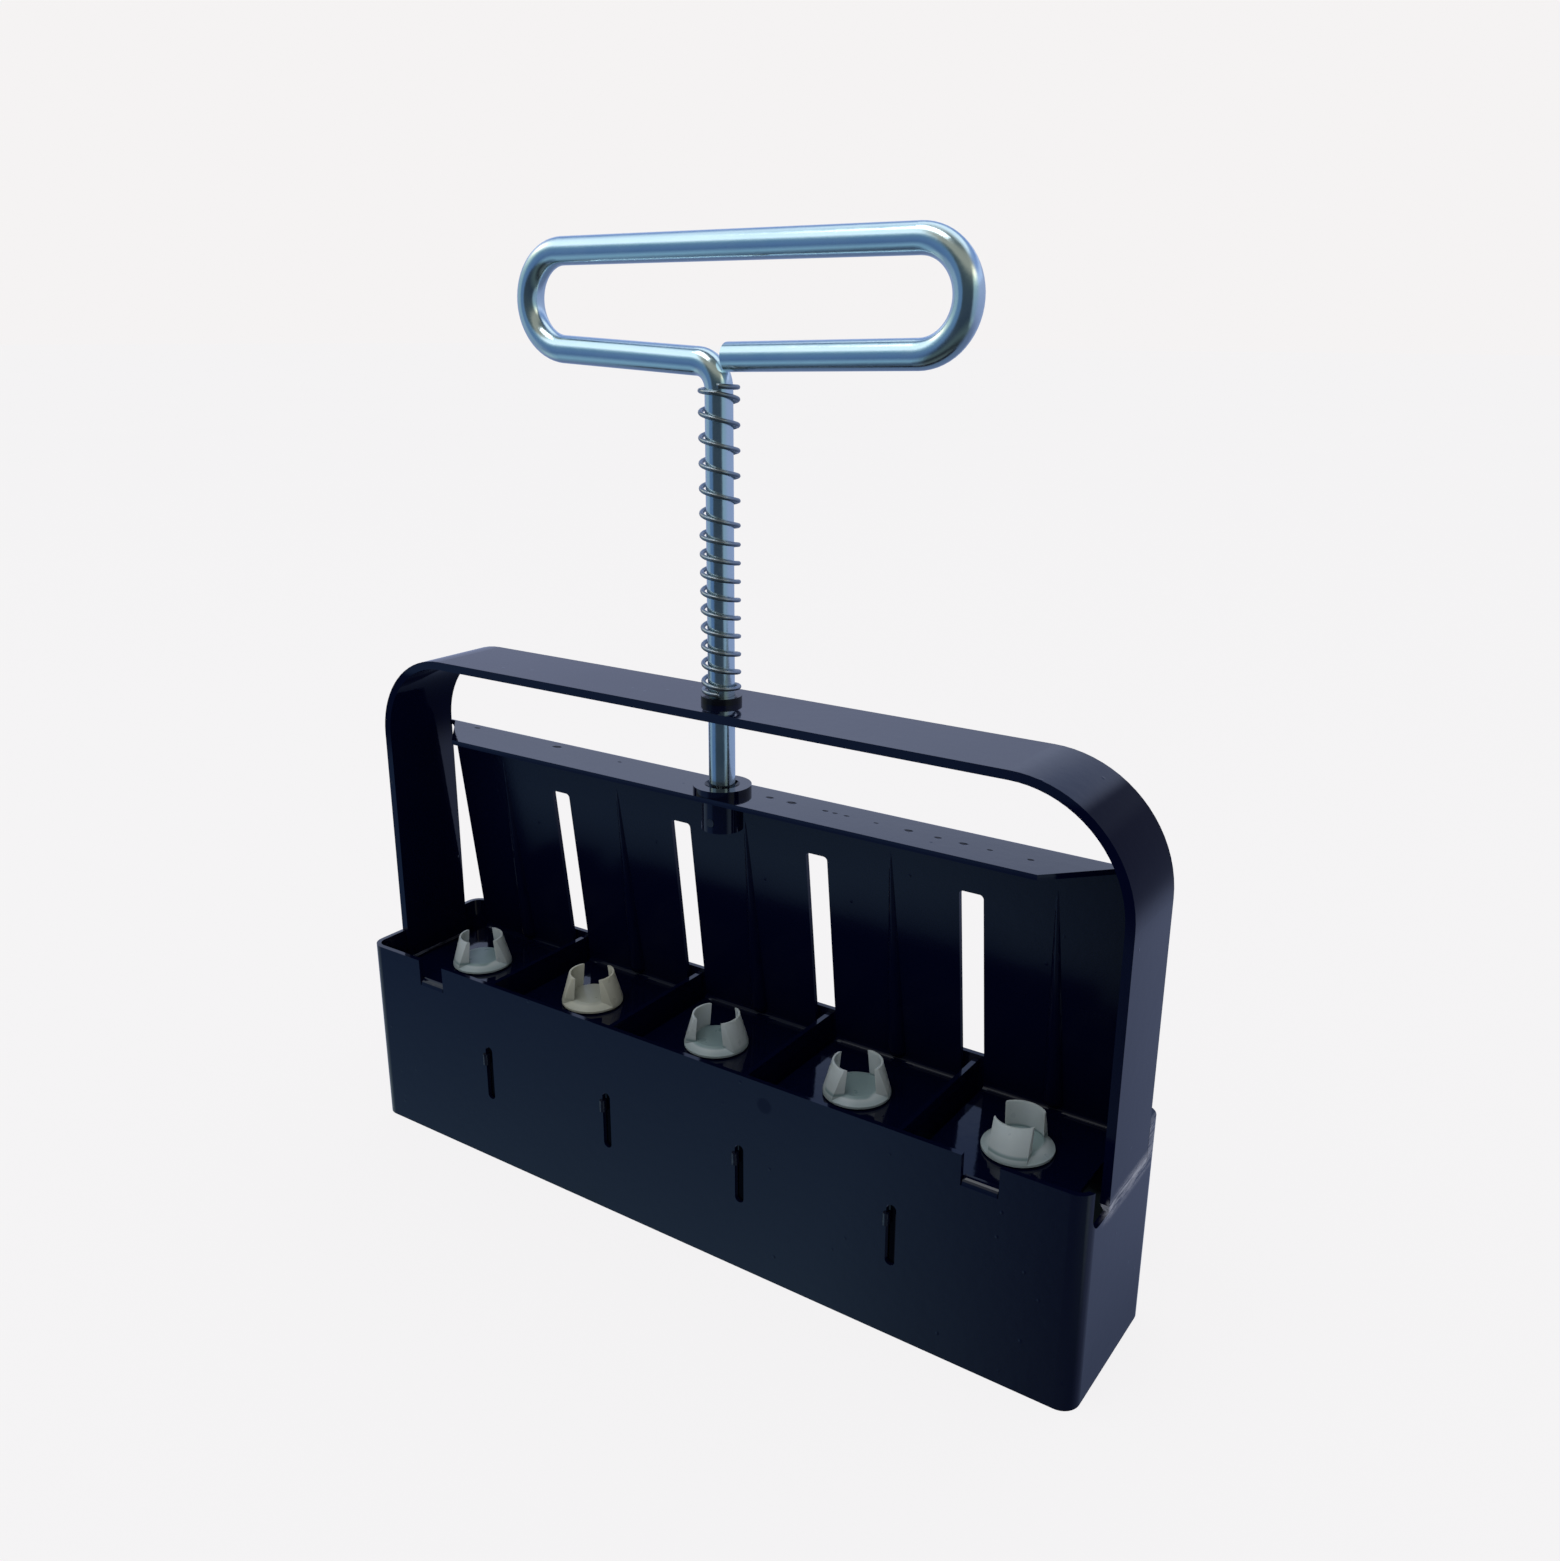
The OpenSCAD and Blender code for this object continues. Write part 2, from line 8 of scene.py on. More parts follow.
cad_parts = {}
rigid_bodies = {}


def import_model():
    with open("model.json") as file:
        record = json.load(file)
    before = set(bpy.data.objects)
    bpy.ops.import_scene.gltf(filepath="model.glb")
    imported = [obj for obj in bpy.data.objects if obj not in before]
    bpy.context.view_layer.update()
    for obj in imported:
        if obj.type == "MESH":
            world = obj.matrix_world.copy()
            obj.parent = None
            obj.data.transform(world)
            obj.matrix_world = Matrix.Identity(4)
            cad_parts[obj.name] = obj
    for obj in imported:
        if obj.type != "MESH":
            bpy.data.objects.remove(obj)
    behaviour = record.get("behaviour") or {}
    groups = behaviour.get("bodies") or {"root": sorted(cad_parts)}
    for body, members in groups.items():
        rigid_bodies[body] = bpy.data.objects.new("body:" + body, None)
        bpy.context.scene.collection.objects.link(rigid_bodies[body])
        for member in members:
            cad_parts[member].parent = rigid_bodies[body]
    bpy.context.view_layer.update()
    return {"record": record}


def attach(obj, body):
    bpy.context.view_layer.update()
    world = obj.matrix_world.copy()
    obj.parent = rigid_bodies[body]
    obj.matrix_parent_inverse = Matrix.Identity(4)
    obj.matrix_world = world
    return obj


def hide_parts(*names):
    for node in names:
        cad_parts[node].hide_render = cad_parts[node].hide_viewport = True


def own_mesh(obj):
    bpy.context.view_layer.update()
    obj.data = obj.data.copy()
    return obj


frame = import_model()
objects = bpy.data.objects


# ---------------------------------------------------------------- sizes from the CAD

def span(node, axis):
    """Lowest and highest coordinate of a CAD node along an axis, in metres."""
    place = objects[node].matrix_world
    values = [(place @ vertex.co)[axis] for vertex in objects[node].data.vertices]
    return round(min(values), 6), round(max(values), 6)


def middle(node, axis):
    """Middle of a CAD node along an axis, in metres."""
    return round(sum(span(node, axis)) / 2, 6)


SHEET = 0.0012             # thickness of the ejector's sheet
CROWN_FLOOR_RISE = 0.0022  # from the press plates to the floor of a pin's crown
HALF_LENGTH = span("mould_shell", 0)[1]
HALF_DEPTH = span("mould_shell", 1)[1]
STRAP_FRONT = span("handle_strap", 1)[0]
STRAP_TOP = span("handle_strap", 2)[1]
WELD_LOW, WELD_HIGH = span("strap_weld_right", 2)
PLATE_LOW, SHELF_TOP = span("ejector", 2)
PLATE_TOP = PLATE_LOW + SHEET
CROWN_FLOOR = PLATE_TOP + CROWN_FLOOR_RISE
PIN_Y = middle("dibble_pin_1", 1)
CELL_PITCH = middle("dibble_pin_4", 0)
AXIS_Y = middle("strap_bush", 1)
BUSH_TOP = span("strap_bush", 2)[1]


# ---------------------------------------------------------------- node helpers

class Graph:
    """Short calls for building a material's nodes."""

    def __init__(self, name):
        self.mat = bpy.data.materials.new(name)
        self.mat.use_nodes = True
        self.tree = self.mat.node_tree
        self.shader = next(n for n in self.tree.nodes if n.type == "BSDF_PRINCIPLED")

    def node(self, kind, **settings):
        n = self.tree.nodes.new(kind)
        for key, value in settings.items():
            setattr(n, key, value)
        return n

    def link(self, a, b):
        self.tree.links.new(a, b)

    def put(self, n, **values):
        for key, value in values.items():
            n.inputs[key.replace("_", " ")].default_value = value
        return n

    def coords(self, scale=(1, 1, 1), turn=(0, 0, 0)):
        mapping = self.node("ShaderNodeMapping")
        mapping.inputs["Scale"].default_value = scale
        mapping.inputs["Rotation"].default_value = turn
        place = self.node("ShaderNodeTexCoord").outputs["Object"]
        self.link(place, mapping.inputs["Vector"])
        return mapping.outputs["Vector"]

    def noise(self, scale, detail=3.0, rough=0.5, vector=None):
        n = self.node("ShaderNodeTexNoise")
        self.put(n, Scale=scale, Detail=detail, Roughness=rough)
        self.link(vector or self.coords(), n.inputs["Vector"])
        return n.outputs["Fac"]

    def spots(self, scale, vector=None):
        n = self.node("ShaderNodeTexVoronoi")
        self.put(n, Scale=scale)
        self.link(vector or self.coords(), n.inputs["Vector"])
        return n.outputs["Distance"]

    def ramp(self, fac, *stops):
        """stops are (position, value or colour)."""
        n = self.node("ShaderNodeValToRGB")
        points = n.color_ramp.elements
        while len(points) < len(stops):
            points.new(0.5)
        for point, (position, value) in zip(points, stops):
            colour = value if isinstance(value, tuple) else (value,) * 3
            point.position = position
            point.color = (*colour, 1)
        self.link(fac, n.inputs["Fac"])
        return n.outputs["Color"]

    def math(self, operation, a, b):
        n = self.node("ShaderNodeMath", operation=operation)
        for socket, value in zip(n.inputs, (a, b)):
            if isinstance(value, (int, float)):
                socket.default_value = value
            else:
                self.link(value, socket)
        return n.outputs[0]

    def axis(self, index):
        """One of the object's own coordinates, in metres."""
        n = self.node("ShaderNodeSeparateXYZ")
        self.link(self.node("ShaderNodeTexCoord").outputs["Object"], n.inputs[0])
        return n.outputs[index]

    def step(self, value, low, high, first=0.0, last=1.0):
        """A smooth change from first to last as value goes from low to high."""
        n = self.node("ShaderNodeMapRange", interpolation_type="SMOOTHSTEP")
        for socket, number in zip(n.inputs[1:5], (low, high, first, last)):
            socket.default_value = number
        self.link(value, n.inputs[0])
        return n.outputs[0]

    def near(self, point, radius, stretch=(1, 1, 1)):
        """1 within radius of a point of the object, falling to 0 just outside it."""
        n = self.node("ShaderNodeVectorMath", operation="DISTANCE")
        self.link(self.coords(stretch), n.inputs[0])
        n.inputs[1].default_value = [p * q for p, q in zip(point, stretch)]
        return self.step(n.outputs["Value"], radius * 0.6, radius * 1.1, 1.0, 0.0)

    def mix(self, fac, a, b):
        n = self.node("ShaderNodeMix", data_type="RGBA")
        for socket, value in zip((n.inputs[0], n.inputs[6], n.inputs[7]), (fac, a, b)):
            if isinstance(value, tuple):
                socket.default_value = (*value, 1)
            elif isinstance(value, (int, float)):
                socket.default_value = value
            else:
                self.link(value, socket)
        return n.outputs[2]

    def bump(self, *layers):
        """layers are (height, depth in metres, strength)."""
        previous = None
        for height, depth, strength in layers:
            n = self.node("ShaderNodeBump")
            self.put(n, Strength=strength, Distance=depth)
            self.link(height, n.inputs["Height"])
            if previous:
                self.link(previous, n.inputs["Normal"])
            previous = n.outputs["Normal"]
        self.link(previous, self.shader.inputs["Normal"])

    def set(self, **values):
        for key, value in values.items():
            socket = self.shader.inputs[key.replace("_", " ")]
            if isinstance(value, tuple):
                socket.default_value = (*value, 1)
            elif isinstance(value, (int, float)):
                socket.default_value = value
            else:
                self.link(value, socket)


# ---------------------------------------------------------------- materials

NAVY = (0.0005, 0.0010, 0.0080)
PALER_NAVY = (0.0008, 0.0015, 0.0105)
WORN, WORN_ROUGHNESS = (0.17, 0.18, 0.22), 0.42
FULL_GLOSS = 0.5
# Pits along the shelf, as (place along X, radius) in millimetres. They lie in a slanting line
SHELF_PITS = (
    (-83, 1.0), (-54, 1.5), (-33, 0.6), (12, 1.1), (18, 1.3), (27, 0.8), (29.5, 0.7),
    (32.5, 0.7), (40, 0.6), (48, 1.1), (55, 0.9), (61, 1.1), (67, 0.7), (76, 0.8))
PITS_MIDDLE_Y, PITS_SLOPE = 3.7, -0.031


def grinding_marks(graph, low, high):
    """A mask of fine scratches that run across the weld."""
    grain = graph.noise(330, 5, 0.7, graph.coords((1, 0.3, 2.0)))
    return graph.ramp(grain, (low, 0.0), (high, 1.0))


class Enamel(Graph):
    """Stove enamel: an even gloss with faint orange peel, soft waviness and dust specks."""

    def __init__(self, name):
        super().__init__(name)
        self.colour = self.mix(self.noise(9, 2), NAVY, PALER_NAVY)
        self.rough = self.ramp(self.noise(55, 4, 0.6), (0.35, 0.055), (0.75, 0.11))
        self.gloss = FULL_GLOSS
        specks = self.ramp(self.spots(150), (0.0, 1.0), (0.07, 0.0))
        self.relief = [(self.noise(420, 2), 0.0004, 0.035),
                       (self.noise(26, 2), 0.0012, 0.06),
                       (specks, 0.0003, 0.2)]

    def wear(self, mask):
        """Rub the enamel through to the primer where the mask is 1."""
        self.colour = self.mix(mask, self.colour, WORN)
        self.rough = self.mix(mask, self.rough, (WORN_ROUGHNESS,) * 3)

    def ground_band(self, outer, inner):
        """Scratches along the ground weld on the outside of both ends.
        There are none at height outer, and they are full at height inner."""
        end = self.step(self.math("ABSOLUTE", self.axis(0), 0),
                        HALF_LENGTH - 0.0010, HALF_LENGTH - 0.0002)
        width = self.math("MULTIPLY", end,
                          self.step(self.axis(1), STRAP_FRONT - 0.0050, STRAP_FRONT))
        band = self.math("MULTIPLY", width, self.step(self.axis(2), outer, inner))
        return self.math("MULTIPLY", band, grinding_marks(self, 0.40, 0.60))

    def done(self):
        self.set(Base_Color=self.colour, Roughness=self.rough, Specular_IOR_Level=self.gloss)
        self.bump(*self.relief)
        return self.mat


def gloss_paint():
    """Plain enamel, for a painted node without marks of its own."""
    return Enamel("gloss_paint").done()


def box_paint():
    """The box's enamel, with the ground band at the strap's foot. Its gloss is painted by place
    as painted reflection: duller in front, low on the ends and bright near their rims, weaker in
    one spot in front."""
    g = Enamel("box_paint")
    g.wear(g.ground_band(WELD_LOW - 0.0030, WELD_LOW - 0.0004))
    # Painted reflection: the gloss is set by place, lower in front, dim low on the ends and bright
    # near their rims.
    front_gloss, foot_gloss, rim_gloss = 0.37, 0.18, 0.72
    foot_z, rim_z = 0.002, 0.044
    ends = g.step(g.math("ABSOLUTE", g.axis(0), 0), HALF_LENGTH - 0.0031, HALF_LENGTH - 0.0002)
    rise = g.step(g.axis(2), foot_z, rim_z, foot_gloss - front_gloss, rim_gloss - front_gloss)
    shine = g.math("ADD", g.math("MULTIPLY", rise, ends), front_gloss)
    # Painted reflection: one spot in front where the gloss is cut, so that its reflection is
    # weaker.
    dim_reflection_spot = g.near((0.0265, -HALF_DEPTH, 0.0453), 0.0022)
    g.gloss = g.math("MULTIPLY", shine, g.step(dim_reflection_spot, 0, 1, 1.0, 0.6))
    return g.done()


def strap_paint():
    """The strap's enamel: rubbed through to the primer just above the weld. Its gloss is painted by
    place as painted reflection: dull round the bends, and a little duller toward the right."""
    g = Enamel("strap_paint")
    g.wear(g.ground_band(WELD_HIGH + 0.0023, WELD_HIGH - 0.0001))
    high = g.axis(2)
    bend = g.math("MULTIPLY", g.step(high, STRAP_TOP - 0.0344, STRAP_TOP - 0.0184),
                  g.step(high, STRAP_TOP - 0.0059, STRAP_TOP - 0.0029, 1.0, 0.0))
    # Painted reflection: nearly no gloss round the bends, and less gloss toward the right.
    g.gloss = g.math("MULTIPLY", g.step(bend, 0, 1, FULL_GLOSS, 0.04),
                     g.step(g.axis(0), 0.02, 0.085, 1.0, 0.74))
    return g.done()


def ejector_paint():
    """The ejector's enamel: pitted in a line along the shelf. Its gloss is painted by place as
    painted
    shade and reflection: fading to almost none down the web, dim on the fold, half glossy on the
    press plates."""
    g = Enamel("ejector_paint")
    high = g.axis(2)
    pits = None
    for x, radius in SHELF_PITS:
        y = PITS_MIDDLE_Y + PITS_SLOPE * x
        spot = g.near((x / 1000, y / 1000, SHELF_TOP), radius / 1000, (1, 1.6, 1))
        pits = spot if pits is None else g.math("MAXIMUM", pits, spot)
    g.colour = g.mix(pits, g.colour, (0.0006, 0.0008, 0.003))
    # Painted shade on the web: its gloss, and so its reflection, fades to almost none toward its
    # foot along an uneven edge.
    uneven_fade_edge = g.math("MULTIPLY", g.noise(24, 2, 0.5, g.coords((1, 1, 0.4))), 0.018)
    web = g.step(g.math("ADD", high, uneven_fade_edge), SHELF_TOP - 0.0314, SHELF_TOP - 0.0074, 0.03, 0.33)
    shelf = g.step(high, SHELF_TOP - 0.0014, SHELF_TOP - 0.0004, 0.0, FULL_GLOSS)
    # Painted reflection: half gloss on the press plates. Painted shade on the fold at the web's
    # foot, whose gloss is cut to dim its highlight line.
    plate = g.math("MINIMUM", g.step(high, PLATE_TOP + 0.00002, PLATE_TOP + 0.0003, 0.36, 0.06),
                   g.step(high, PLATE_TOP + 0.0010, PLATE_TOP + 0.0014, 1.0, 0.0))
    g.gloss = g.math("MAXIMUM", g.math("MAXIMUM", web, shelf), plate)
    g.gloss = g.math("MULTIPLY", g.gloss, g.step(pits, 0, 1, 1.0, 0.1))
    g.rough = g.math("MAXIMUM", g.rough,
                     g.step(high, SHELF_TOP - 0.0054, SHELF_TOP - 0.0014, 0.17, 0.05))
    g.rough = g.math("MINIMUM", g.rough,
                     g.step(high, PLATE_TOP + 0.0002, PLATE_TOP + 0.0012, 0.07, 0.5))
    g.relief.append((pits, -0.0004, 0.8))
    return g.done()


def partition_paint():
    """The partitions' enamel. The ends of their tabs lie deep in the slots, painted dark and dull
    as painted shade.
    """
    g = Enamel("partition_paint")
    deep = g.step(g.math("ABSOLUTE", g.axis(1), 0), HALF_DEPTH - 0.0013, HALF_DEPTH - 0.0011)
    # Painted shade: the tab ends are darkened and lose almost all their gloss.
    g.colour = g.mix(deep, g.colour, (0.0003, 0.0004, 0.0018))
    g.gloss = g.step(deep, 0, 1, 0.4, 0.02)
    return g.done()


def weld_paint():
    """Paint over a ground weld, scuffed down to the primer and the steel in places."""
    g = Graph("weld_paint")
    worn = grinding_marks(g, 0.38, 0.56)
    g.set(Base_Color=g.mix(worn, (0.010, 0.012, 0.024), (0.26, 0.28, 0.34)),
          Roughness=g.ramp(worn, (0.0, 0.28), (1.0, 0.5)))
    g.bump((g.noise(700, 4, 0.6), 0.0005, 0.5), (g.noise(160, 3), 0.0008, 0.6))
    return g.mat


def tack_paint():
    """A thick run of enamel over the tack welds."""
    g = Graph("tack_paint")
    g.set(Base_Color=g.mix(g.noise(300, 3), (0.001, 0.0015, 0.006), (0.003, 0.004, 0.012)),
          Roughness=g.ramp(g.noise(500, 3), (0.3, 0.12), (0.7, 0.25)))
    g.bump((g.noise(600, 3), 0.0004, 0.5))
    return g.mat


def black_nylon():
    g = Graph("black_nylon")
    g.set(Base_Color=g.mix(g.noise(120, 3), (0.0012, 0.0014, 0.003), (0.003, 0.0034, 0.007)),
          Roughness=g.ramp(g.noise(300, 3), (0.3, 0.16), (0.7, 0.26)))
    g.bump((g.noise(900, 2), 0.0002, 0.12))
    return g.mat


def zinc():
    """Bright zinc plate with a pale blue tint and fine drawing lines along the rod."""
    g = Graph("bright_zinc")
    tint = g.mix(g.noise(60, 4, 0.6), (0.58, 0.72, 0.77), (0.68, 0.80, 0.83))
    g.set(Base_Color=tint, Metallic=1.0,
          Roughness=g.ramp(g.noise(240, 5, 0.6), (0.3, 0.14), (0.75, 0.24)))
    g.bump((g.noise(1500, 3), 0.0001, 0.10), (g.noise(130, 3), 0.0004, 0.08))
    return g.mat


def spring_steel():
    g = Graph("spring_steel")
    g.set(Base_Color=g.mix(g.noise(200, 4), (0.20, 0.24, 0.27), (0.31, 0.35, 0.39)), Metallic=1.0,
          Roughness=g.ramp(g.noise(500, 3), (0.3, 0.24), (0.7, 0.38)))
    g.bump((g.noise(2500, 2), 0.0001, 0.15))
    return g.mat


def dark_steel():
    g = Graph("dark_steel")
    g.set(Base_Color=g.mix(g.noise(300, 3), (0.05, 0.05, 0.06), (0.12, 0.12, 0.13)), Metallic=1.0,
          Roughness=g.ramp(g.noise(600, 3), (0.3, 0.3), (0.7, 0.5)))
    g.bump((g.noise(1500, 2), 0.0001, 0.2))
    return g.mat


def white_nylon():
    """Natural nylon: milky, slightly green, a little translucent, with faint flow marks.
    The crown's floor and skirt are painted darker: partly painted shade in the crown's hollow,
    partly the dark plate showing through the nylon. One pin is yellowed."""
    g = Graph("white_nylon")
    high = g.axis(2)
    flow = g.noise(45, 4, 0.6, g.coords((1, 1, 2.5)))
    aged = g.near((-CELL_PITCH, PIN_Y, 0.047), 0.014)
    tone = g.mix(flow, (0.27, 0.325, 0.345), (0.36, 0.405, 0.42))
    tone = g.mix(aged, tone, (0.37, 0.385, 0.33))
    # Painted shade: the crown's floor between its prongs, and by half its skirt, take a darker
    # tone.
    cell = g.math("ROUND", g.math("DIVIDE", g.axis(0), CELL_PITCH), 0)
    from_axis = g.math("SUBTRACT", g.axis(0), g.math("MULTIPLY", cell, CELL_PITCH))
    shaded_crown_floor = g.step(g.math("ABSOLUTE", from_axis, 0), 0.0046, 0.0056, 1.0, 0.0)
    shaded_crown_floor = g.math("MULTIPLY", shaded_crown_floor,
                  g.step(high, CROWN_FLOOR - 0.0001, CROWN_FLOOR + 0.0006, 1.0, 0.0))
    shaded_crown_floor = g.math("MULTIPLY", shaded_crown_floor, g.step(high, CROWN_FLOOR - 0.0006, CROWN_FLOOR - 0.0002))
    skirt = g.math("MULTIPLY", g.step(high, CROWN_FLOOR - 0.0011, CROWN_FLOOR - 0.0002, 0.5, 0.0),
                   g.step(high, CROWN_FLOOR - 0.0020, CROWN_FLOOR - 0.0018))
    thin_and_shaded = g.mix(aged, (0.14, 0.205, 0.215), (0.28, 0.30, 0.26))
    g.set(Base_Color=g.mix(g.math("MAXIMUM", shaded_crown_floor, skirt), tone, thin_and_shaded),
          Roughness=g.ramp(g.noise(260, 3), (0.3, 0.26), (0.7, 0.42)),
          Subsurface_Weight=0.25, Subsurface_Scale=0.0015)
    g.shader.inputs["Subsurface Radius"].default_value = (1.0, 0.95, 0.7)
    g.bump((g.noise(900, 3), 0.0001, 0.2), (g.noise(120, 2), 0.0003, 0.15))
    return g.mat


def paint_all():
    """Give every CAD node its own paint, or else the finish of its slot. Returns the finishes."""
    finish = {
        "black_paint": gloss_paint(), "painted_weld": weld_paint(), "black_nylon": black_nylon(),
        "bright_zinc": zinc(), "spring_steel": spring_steel(), "steel": dark_steel(),
        "white_nylon": white_nylon(),
    }
    special = {"mould_shell": box_paint(), "handle_strap": strap_paint(),
               "ejector": ejector_paint(), "tab_tacks": tack_paint()}
    special.update({f"partition_{i}": partition_paint() for i in range(1, 5)})
    for row in frame["record"]["subparts"]:
        mesh = objects[row["node"]].data
        mesh.materials.clear()
        mesh.materials.append(special.get(row["node"], finish[row["material_slot"]]))
    return finish


# ---------------------------------------------------------------- return spring

OPEN_TURNS, END_PITCH = 14, 0.00145
TURNS = OPEN_TURNS + 2
COIL_R, WIRE_R = 0.00395, 0.0005
SPRING_LOW = round(BUSH_TOP + 0.0003 + WIRE_R, 6)
SPRING_HIGH = SPRING_LOW + 0.0653
# The upper turns, past this share of the open ones, are wider by this much
WIDE_FROM, WIDENING = 0.62, 0.3
START_ANGLE = -60


def coil_height(n):
    """Height of turn n: a closed turn at each end, and open turns that widen upward."""
    if n < 1:
        return SPRING_LOW + n * END_PITCH
    if n > TURNS - 1:
        return SPRING_HIGH - (TURNS - n) * END_PITCH
    s = (n - 1) / OPEN_TURNS
    share = (s + WIDENING * max(0.0, s - WIDE_FROM)) / (1 + WIDENING * (1 - WIDE_FROM))
    return SPRING_LOW + END_PITCH + (SPRING_HIGH - SPRING_LOW - 2 * END_PITCH) * share


def smooth_spring(material, rings=44, sides=12):
    """The return spring as one round wire, with flat cut ends."""
    points, faces = [], []
    last = TURNS * rings
    for j in range(last + 1):
        n = j / rings
        a = math.radians(START_ANGLE - 360 * n)
        for k in range(sides):
            b = 2 * math.pi * k / sides
            r = COIL_R + WIRE_R * math.cos(b)
            points.append((r * math.cos(a), AXIS_Y + r * math.sin(a),
                           coil_height(n) + WIRE_R * math.sin(b)))
    for j in range(last):
        for k in range(sides):
            m = (k + 1) % sides
            faces.append((j * sides + k, j * sides + m,
                          (j + 1) * sides + m, (j + 1) * sides + k))
    faces.append(tuple(reversed(range(sides))))
    faces.append(tuple(last * sides + k for k in range(sides)))
    mesh = bpy.data.meshes.new("smooth_spring")
    mesh.from_pydata(points, [], faces)
    mesh.validate()
    mesh.polygons.foreach_set("use_smooth", [len(f) == 4 for f in faces])
    mesh.materials.append(material)
    spring = objects.new("smooth_spring", mesh)
    bpy.context.collection.objects.link(spring)
    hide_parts("return_spring")
    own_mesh(spring)
    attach(spring, "mould")


# ---------------------------------------------------------------- stage

def plain_floor():
    """A pale floor that glows evenly, so that it runs into the pale room with no horizon.
    Its glow is turned off where the box stands over it, as a painted shade under the box."""
    bpy.ops.mesh.primitive_plane_add(size=40, location=(0, 0, 0))
    floor = bpy.context.object
    floor.name = "floor"
    g = Graph("pale_floor")
    # Painted shade: the floor glows only past the box's ends and sides; under the box it is dark.
    past_ends = g.step(g.math("ABSOLUTE", g.axis(0), 0), HALF_LENGTH - 0.0020, HALF_LENGTH - 0.0010)
    past_sides = g.step(g.math("ABSOLUTE", g.axis(1), 0), HALF_DEPTH - 0.0019, HALF_DEPTH - 0.0009)
    g.set(Base_Color=g.mix(g.noise(3, 2), (0.05, 0.05, 0.05), (0.055, 0.055, 0.055)),
          Roughness=0.95, Specular_IOR_Level=0.0, Emission_Color=(0.857, 0.849, 0.857),
          Emission_Strength=g.math("MAXIMUM", past_ends, past_sides))
    floor.data.materials.append(g.mat)
    floor.visible_glossy = False


# What the gloss mirrors, each as (place on the axis from -1 to 1, colour): the front and the
# back by height, and a factor on the front by how far right the mirrored direction points
FRONT_BY_HEIGHT = (
    (-1.0, (0.36, 0.52, 0.66)), (-0.85, (0.04, 0.06, 0.11)), (-0.66, (0.26, 0.43, 0.58)),
    (-0.38, (0.09, 0.165, 0.32)), (-0.12, (0.11, 0.20, 0.38)), (0.18, (0.13, 0.24, 0.39)),
    (0.34, (0.30, 0.46, 0.60)), (0.50, (1.15, 1.3, 1.4)), (0.78, (1.0, 1.15, 1.25)),
    (0.88, (0.34, 0.50, 0.66)), (1.0, (0.6, 0.8, 1.0)))
FRONT_FACTOR = (
    (-1.0, (2.6, 2.0, 1.4)), (-0.86, (2.6, 2.0, 1.4)), (-0.74, (1.0, 1.0, 1.0)),
    (-0.42, (1.0, 1.0, 1.0)), (-0.26, (0.33, 0.28, 0.22)), (0.78, (0.33, 0.28, 0.22)),
    (0.90, (2.6, 2.0, 1.35)), (1.0, (2.5, 1.9, 1.4)))
BACK_BY_HEIGHT = (
    (-1.0, (0.12, 0.18, 0.30)), (-0.6, (0.16, 0.20, 0.33)), (-0.3, (0.31, 0.37, 0.58)),
    (0.0, (0.36, 0.42, 0.64)), (0.24, (0.42, 0.48, 0.70)), (0.32, (0.62, 0.72, 1.02)),
    (0.42, (0.55, 0.65, 0.95)), (0.55, (0.22, 0.33, 0.65)), (0.72, (0.3, 0.42, 0.7)),
    (0.82, (1.0, 1.12, 1.25)), (1.0, (1.0, 1.1, 1.2)))
SHARE_OF_BACK = (
    (-1, (0, 0, 0)), (-0.15, (0, 0, 0)), (0.3, (1, 1, 1)), (1, (1, 1, 1)))
ROOM = (0.913, 0.896, 0.896)


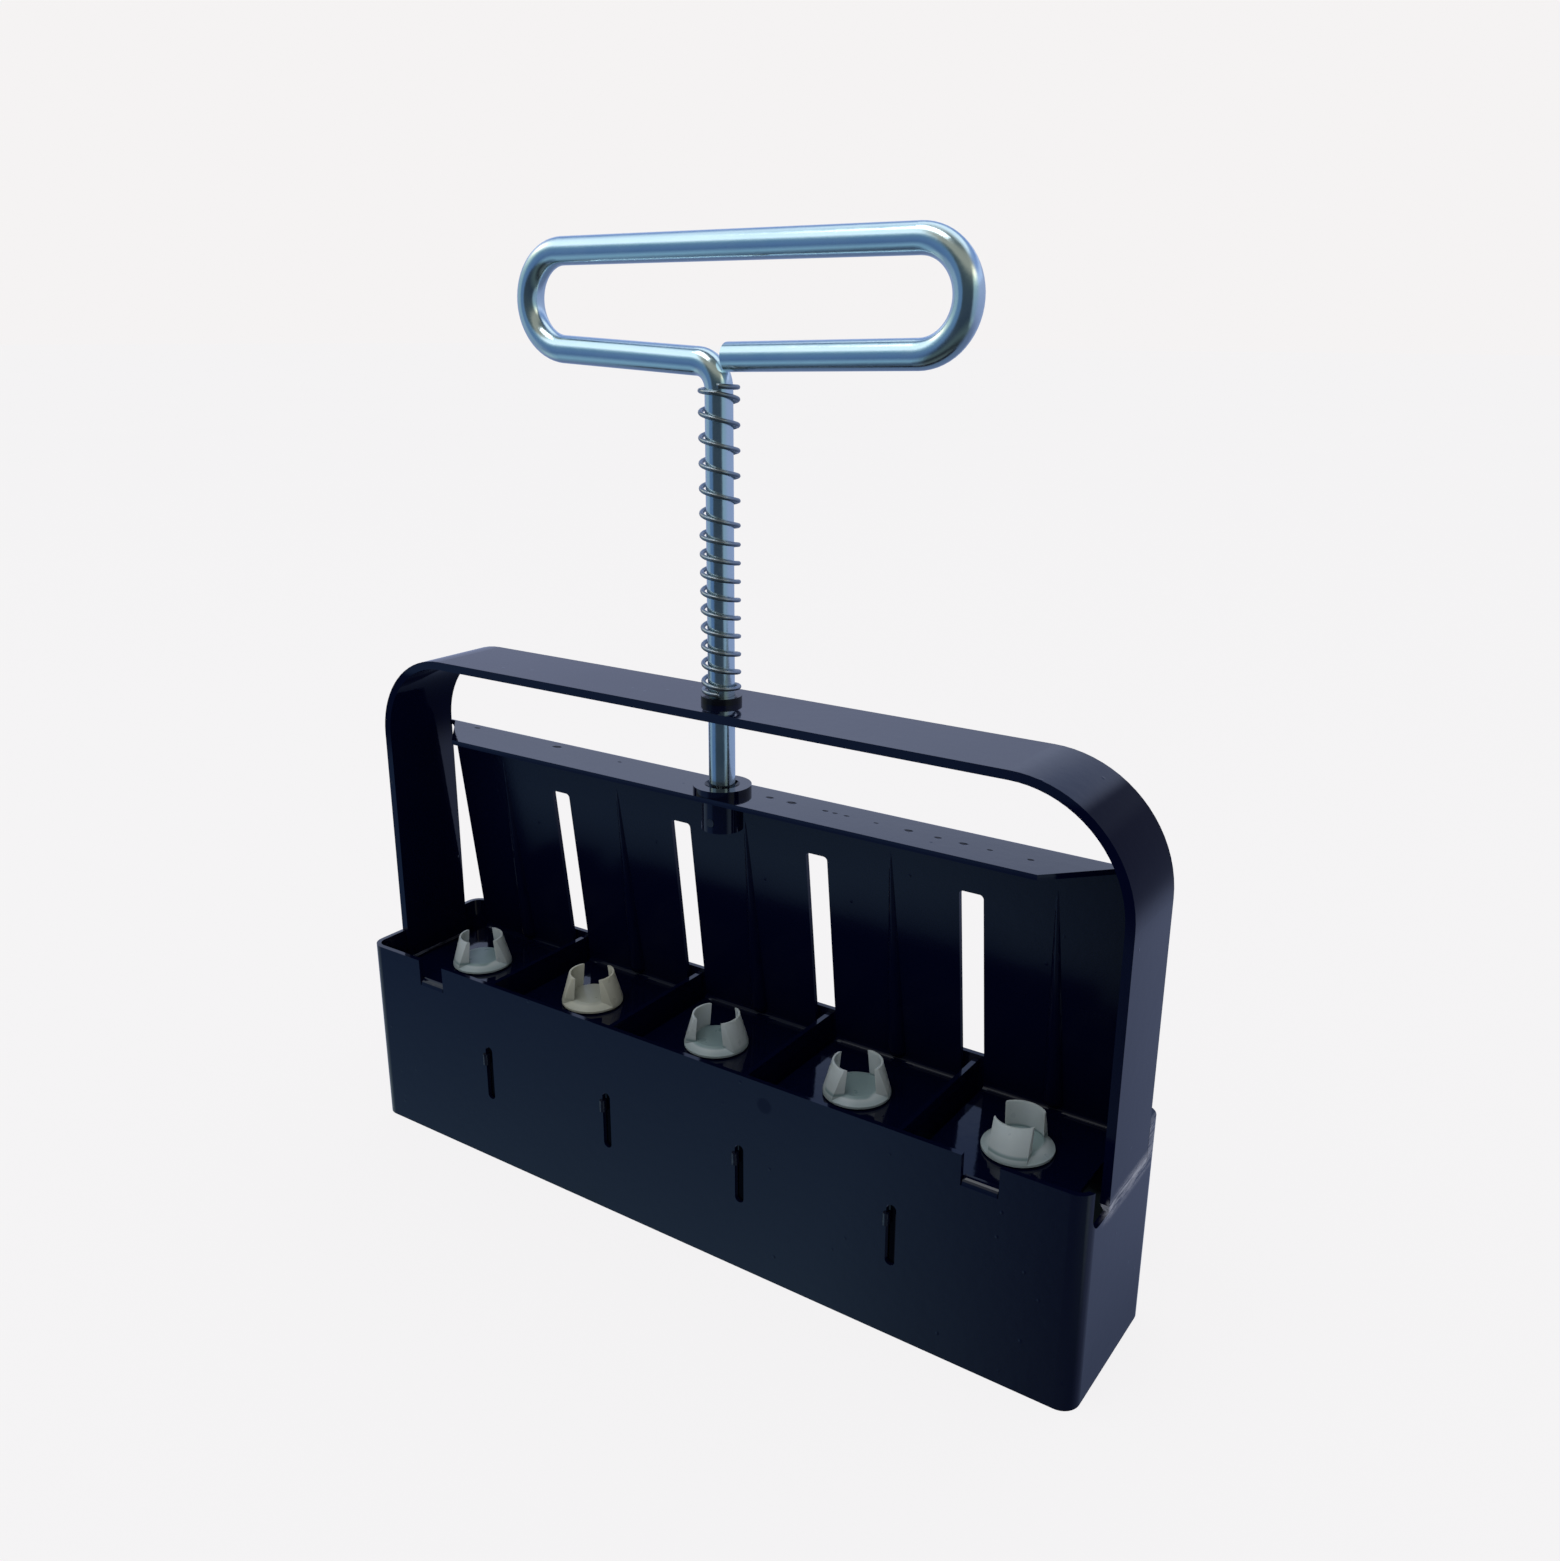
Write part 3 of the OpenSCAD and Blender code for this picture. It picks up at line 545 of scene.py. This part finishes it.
def soft_world():
    """A pale room. What the gloss mirrors is a blue dusk in front, darkest where the
    camera stands and bright to its sides, and a bright haze behind and above."""
    world = bpy.data.worlds.new("studio")
    bpy.context.scene.world = world
    world.use_nodes = True
    tree = world.node_tree
    tree.nodes.clear()
    add, link = tree.nodes.new, tree.links.new

    def ramp(value, stops):
        colours = add("ShaderNodeValToRGB")
        while len(colours.color_ramp.elements) < len(stops):
            colours.color_ramp.elements.new(0.5)
        for point, (place, colour) in zip(colours.color_ramp.elements, stops):
            point.position = (place + 1) / 2
            point.color = (*colour, 1)
        spread = add("ShaderNodeMapRange")
        for socket, number in zip(spread.inputs[1:5], (-1, 1, 0, 1)):
            socket.default_value = number
        link(value, spread.inputs[0])
        link(spread.outputs[0], colours.inputs["Fac"])
        return colours.outputs["Color"]

    def blend(kind, fac, a, b):
        mixed = add("ShaderNodeMix")
        mixed.data_type = "RGBA"
        mixed.blend_type = kind
        if isinstance(fac, float):
            mixed.inputs[0].default_value = fac
        else:
            link(fac, mixed.inputs[0])
        link(a, mixed.inputs[6])
        link(b, mixed.inputs[7])
        return mixed.outputs[2]

    where = add("ShaderNodeTexCoord")
    split = add("ShaderNodeSeparateXYZ")
    link(where.outputs["Generated"], split.inputs[0])
    right, away, high = split.outputs
    front = blend("MULTIPLY", 1.0, ramp(high, FRONT_BY_HEIGHT), ramp(right, FRONT_FACTOR))
    seen = add("ShaderNodeBackground")
    link(blend("MIX", ramp(away, SHARE_OF_BACK), front, ramp(high, BACK_BY_HEIGHT)),
         seen.inputs["Color"])
    plain = add("ShaderNodeBackground")
    plain.inputs["Color"].default_value = (*ROOM, 1)
    path = add("ShaderNodeLightPath")
    pick = add("ShaderNodeMixShader")
    link(path.outputs["Is Glossy Ray"], pick.inputs[0])
    link(plain.outputs[0], pick.inputs[1])
    link(seen.outputs[0], pick.inputs[2])
    out = add("ShaderNodeOutputWorld")
    link(pick.outputs[0], out.inputs["Surface"])


def soft_light(name, place, size, power, colour):
    """A soft box that looks at the middle of the object."""
    data = bpy.data.lights.new(name, "AREA")
    data.shape = "RECTANGLE"
    data.size, data.size_y = size
    data.energy = power
    data.color = colour
    lamp = objects.new(name, data)
    bpy.context.collection.objects.link(lamp)
    lamp.location = place
    to_object = Vector((0, 0, 0.1)) - lamp.location
    lamp.rotation_euler = to_object.to_track_quat("-Z", "Y").to_euler()


# ---------------------------------------------------------------- camera

# In pixels of the photograph: its size, the focal length, and where the lens's axis meets it
PICTURE = (1560, 1561)
FOCAL_LENGTH = 1370.0
AIM = (781.17, 787.2)
SENSOR = 36


def photo_camera():
    """The camera that was fitted to the photograph."""
    data = bpy.data.cameras.new("photo_view")
    cam = objects.new("photo_view", data)
    bpy.context.collection.objects.link(cam)
    cam.location = (0.175985, -0.236388, 0.206114)
    around, up, roll = math.radians(33.876), math.radians(18.321), math.radians(0.331)
    back = Vector((math.sin(around) * math.cos(up), -math.cos(around) * math.cos(up),
                   math.sin(up)))
    turn = back.to_track_quat("Z", "Y").to_matrix().to_4x4()
    cam.rotation_mode = "QUATERNION"
    cam.rotation_quaternion = (turn @ Matrix.Rotation(roll, 4, "Z")).to_quaternion()
    long_side = max(PICTURE)
    data.sensor_width = SENSOR
    data.lens = FOCAL_LENGTH * SENSOR / long_side
    data.shift_x = (PICTURE[0] / 2 - AIM[0]) / long_side
    data.shift_y = (AIM[1] - PICTURE[1] / 2) / long_side
    data.clip_start = 0.01
    bpy.context.scene.camera = cam


# ---------------------------------------------------------------- the whole picture

finish = paint_all()
smooth_spring(finish["spring_steel"])
bpy.context.scene.view_settings.view_transform = "Standard"
plain_floor()
soft_world()
soft_light("softbox_top", (-0.25, -0.5, 1.5), (0.9, 0.6), 5, (0.96, 0.98, 1.0))
photo_camera()
